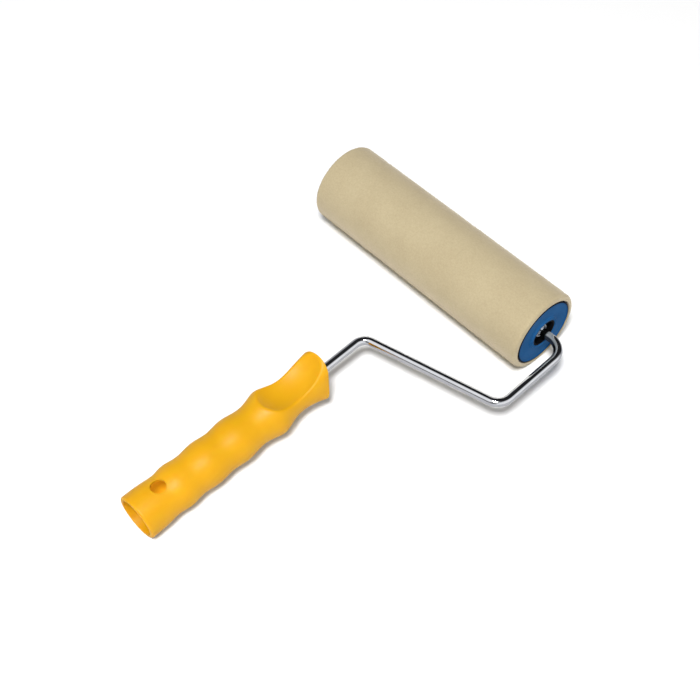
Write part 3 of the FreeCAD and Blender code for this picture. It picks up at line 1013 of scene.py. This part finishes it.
def add_floor():
    """A pale matt floor that the camera sees fade to white far from the object."""
    mesh = bpy.data.meshes.new("floor")
    half = FLOOR_HALF
    corners = [(-half, -half), (half, -half), (half, half), (-half, half)]
    mesh.from_pydata([(x, y, FLOOR_Z) for x, y in corners], [], [(0, 1, 2, 3)])
    floor = bpy.data.objects.new("floor", mesh)
    bpy.context.scene.collection.objects.link(floor)
    look = Look("paper_sweep")
    base = look.mix(look.noise(3.0), (0.90, 0.90, 0.90), (0.92, 0.92, 0.92))
    # Painted shade in reflections: mirrors see the floor a darker grey than the camera does.
    look.colour(look.seen_by("Is Glossy Ray", base, (0.48, 0.48, 0.50)))
    look.put(Roughness=0.9, Specular_IOR_Level=0.1)
    offset = look.vector("SUBTRACT", look.place, CAMERA_TARGET)["Vector"]
    reach = look.vector("LENGTH", offset)["Value"]
    far = look.mix(look.between(reach, 0.0, 1.0, *FLOOR_FADE), (0.0, 0.0, 0.0), (1.0, 1.0, 1.0))
    far = look.seen_by("Is Camera Ray", (0.0, 0.0, 0.0), far)
    look.link(far, look.shader.inputs["Emission Color"])
    look.put(Emission_Strength=1.0)
    mesh.materials.append(look.material)


def add_key():
    """A softbox just above and left of the camera, which keeps shadows short."""
    data = bpy.data.lights.new("key", "AREA")
    data.shape = "DISK"
    data.size = KEY_SIZE
    data.energy = KEY_POWER
    light = bpy.data.objects.new("key", data)
    bpy.context.scene.collection.objects.link(light)
    back = camera_back()
    left = Vector((-math.cos(CAMERA_AZIMUTH), -math.sin(CAMERA_AZIMUTH), 0))
    raised = left.cross(back)
    if raised.z < 0:
        raised = -raised
    away = (back + left * KEY_LEFT + raised * KEY_RAISED).normalized()
    light.location = CAMERA_TARGET + away * KEY_DISTANCE
    light.rotation_euler = (-away).to_track_quat("-Z", "Y").to_euler()


def add_world():
    """Soft white fill all round; mirrors see a dark room with pale side walls and a softbox."""
    world = bpy.data.worlds.new("studio")
    world.use_nodes = True
    bpy.context.scene.world = world
    tree = world.node_tree
    background = tree.nodes["Background"]
    background.inputs["Strength"].default_value = 1.0
    view = tree.nodes.new("ShaderNodeTexCoord").outputs["Generated"]
    path = tree.nodes.new("ShaderNodeLightPath")

    def facing(direction, low, high):
        """How much the view looks along a direction, from 0 at low to 1 at high."""
        dot = tree.nodes.new("ShaderNodeVectorMath")
        dot.operation = "DOT_PRODUCT"
        dot.inputs[1].default_value = direction
        tree.links.new(view, dot.inputs[0])
        part = tree.nodes.new("ShaderNodeMapRange")
        part.interpolation_type = "SMOOTHSTEP"
        part.inputs["From Min"].default_value = low
        part.inputs["From Max"].default_value = high
        tree.links.new(dot.outputs["Value"], part.inputs["Value"])
        return part.outputs["Result"]

    def mixed(share, first, second):
        mix = tree.nodes.new("ShaderNodeMix")
        mix.data_type = "RGBA"
        tree.links.new(share, mix.inputs["Factor"])
        for socket, colour in ((mix.inputs[6], first), (mix.inputs[7], second)):
            if isinstance(colour, tuple):
                socket.default_value = (*colour, 1)
            else:
                tree.links.new(colour, socket)
        return mix.outputs[2]

    room = mixed(facing((0, -1, 0), 0.7, 1.0), (0.018, 0.018, 0.02), (0.25, 0.25, 0.26))
    room = mixed(facing((-1, 0, 0), 0.62, 0.95), room, (0.55, 0.55, 0.57))
    room = mixed(facing((1, 0, 0), 0.35, 0.75), room, (1.05, 1.05, 1.07))
    room = mixed(facing((-0.2, -0.6, 0.775), 0.81, 0.93), room, (1.05, 1.05, 1.07))
    fill = (AMBIENT, AMBIENT, AMBIENT)
    seen = mixed(path.outputs["Is Camera Ray"], fill, (1.0, 1.0, 1.0))
    tree.links.new(mixed(path.outputs["Is Glossy Ray"], seen, room), background.inputs["Color"])


# Assembly -----------------------------------------------------------------------------------


def paint(node, material):
    """Gives a carried-over CAD node its material."""
    mesh = frame["nodes"][node].data
    mesh.materials.clear()
    mesh.materials.append(material)


def main():
    blue = cap_look()
    black = bearing_look()
    zinc = washer_look()
    cream = nap_look("velour", (0.43, 0.357, 0.221), (0.48, 0.404, 0.255))
    loose = nap_look("velour_fibre", (0.46, 0.385, 0.243), (0.51, 0.431, 0.277))
    add_handle(handle_look())
    add_wire(wire_look())
    add_nap(cream)
    add_fibres(loose)
    add_end("near", 1, blue, black)
    add_end("far", -1, blue, black)
    for node in ("near_star_washer", "near_thrust_washer", "far_push_nut", "far_thrust_washer"):
        paint(node, zinc)
    paint("core_tube", core_look())
    add_camera()
    add_floor()
    add_key()
    add_world()
    bpy.context.scene.view_settings.view_transform = "Standard"


main()
